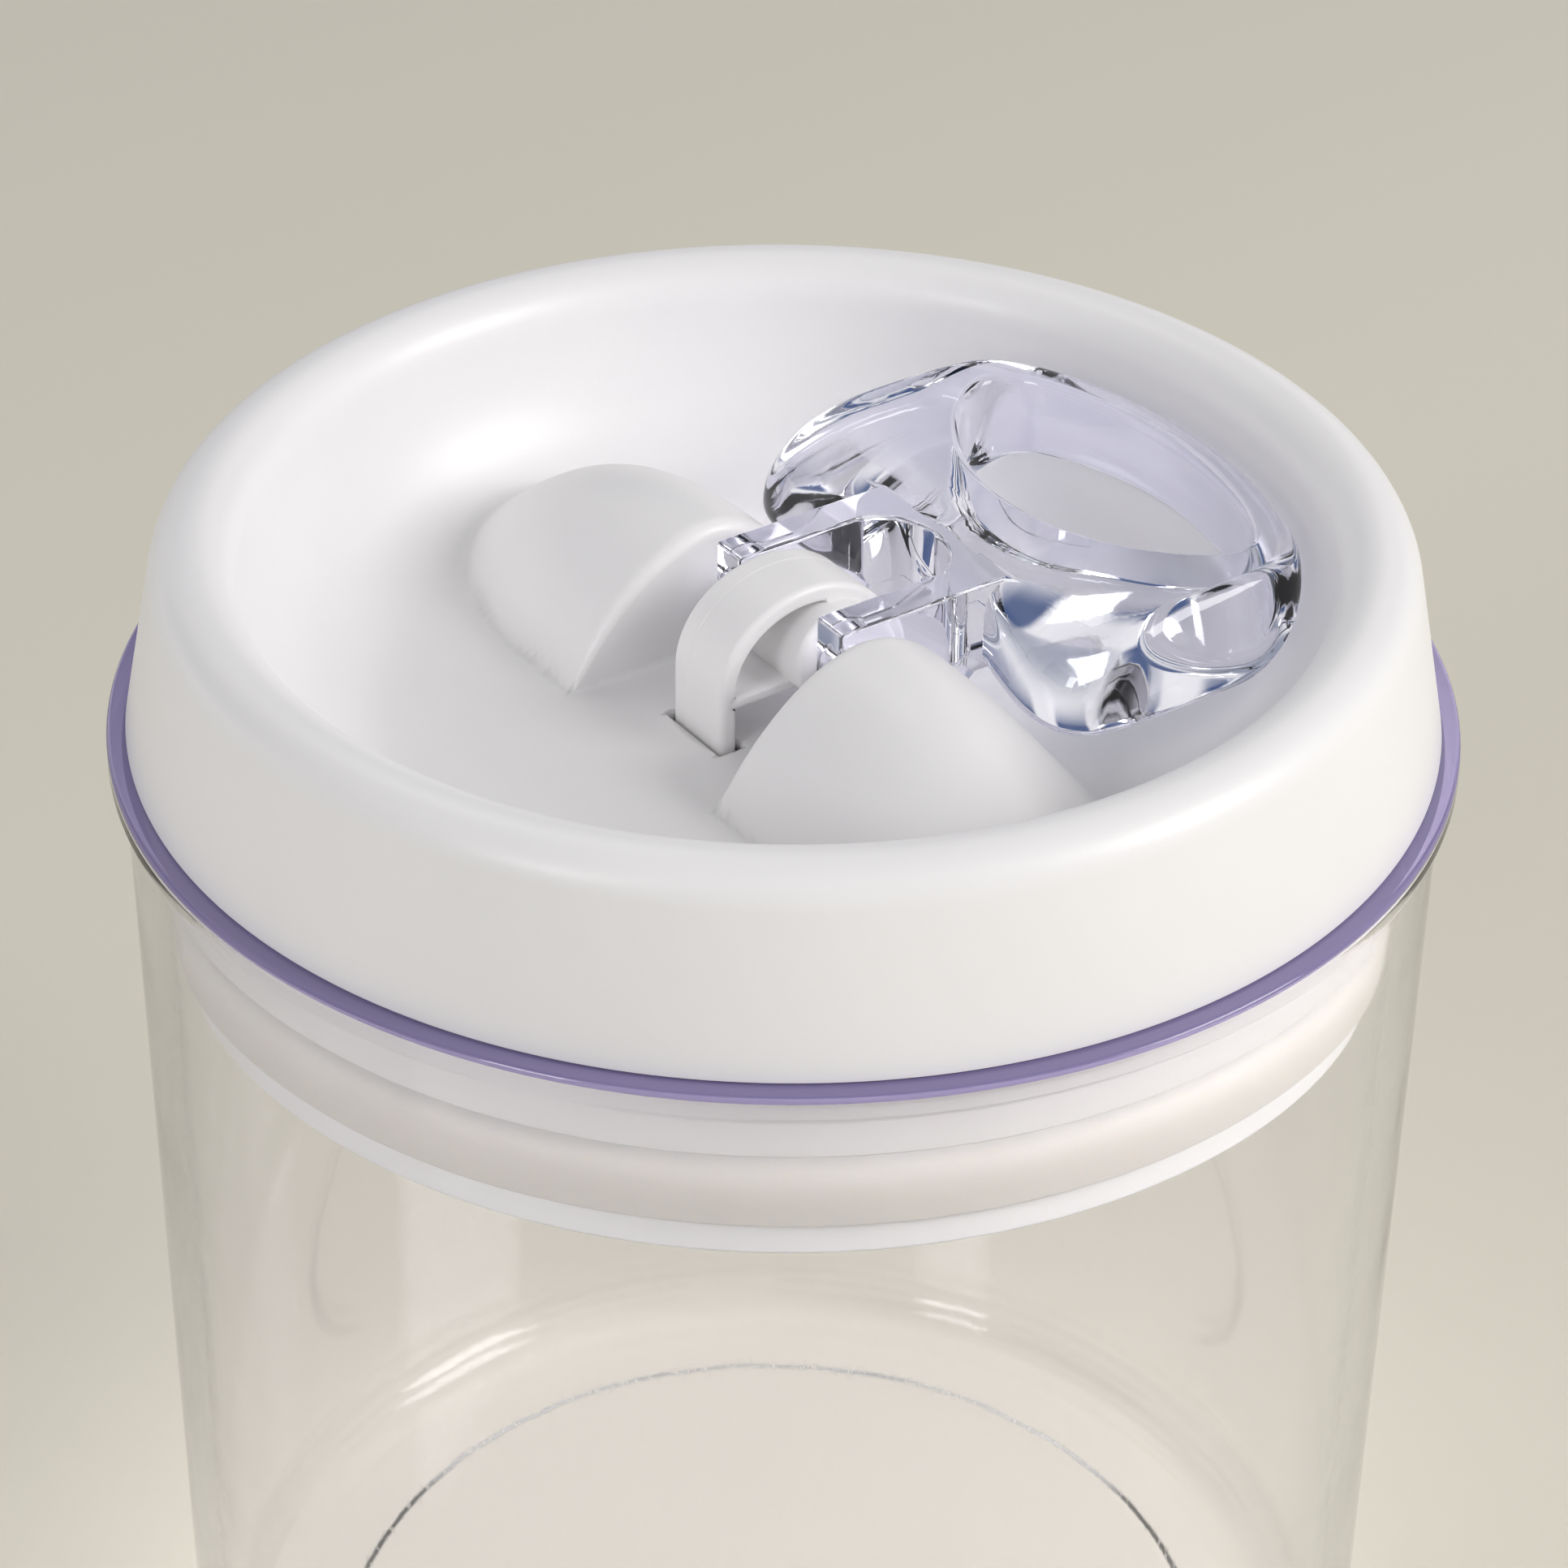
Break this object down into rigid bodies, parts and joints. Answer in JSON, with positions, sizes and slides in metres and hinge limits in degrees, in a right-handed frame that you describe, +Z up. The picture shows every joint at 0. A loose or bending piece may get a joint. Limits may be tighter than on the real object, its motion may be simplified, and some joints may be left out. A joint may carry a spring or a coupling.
{
  "type": "food storage canister",
  "caption": "Round clear storage jar with a dished white lid, sealed by a flip lever that pulls a plunger up and squeezes a silicone ring against the jar.",
  "frame": {"origin": "centre of the jar's base, on the surface that it stands on", "axes": "+Z up along the jar's axis, +X from the axle towards the lever's finger end, +Y along the lever's axle"},
  "size_m": [0.1318, 0.1318, 0.1457],
  "materials": {
    "clear_jar": "clear acrylic, polished, with a violet tint at its edges",
    "white_lid": "white, fine satin",
    "white_inner": "white, fine satin",
    "silicone": "translucent white silicone, matt",
    "clear_lever": "clear acrylic, polished, with a faint violet tint",
    "steel_pin": "plain ground pin"
  },
  "bodies": {
    "jar": {"jar_body": "clear_jar"},
    "lid": {"lid_cover": "white_lid", "lid_base": "white_inner", "sealing_ring": "silicone"},
    "plunger": {"plunger_plate": "white_inner", "plunger_yoke": "white_lid"},
    "lever": {"flip_lever": "clear_lever", "lever_axle": "steel_pin"}
  },
  "joints": [
    {"name": "lid_lift", "type": "slide", "parent": "jar", "child": "lid", "axis": [0, 0, 1], "range_m": [0, 0.08]},
    {"name": "plunger_drop", "type": "slide", "parent": "lid", "child": "plunger", "axis": [0, 0, 1], "range_m": [-0.0036, 0], "deforming": ["sealing_ring"]},
    {"name": "lever_flip", "type": "hinge", "parent": "plunger", "child": "lever", "pos_m": [0.0026, 0, 0.1327], "axis": [0, -1, 0], "range_deg": [0, 90]}
  ],
  "couplings": [
    {"joint": "plunger_drop", "follows": "lever_flip", "m_per_rad": -0.0022918}
  ]
}
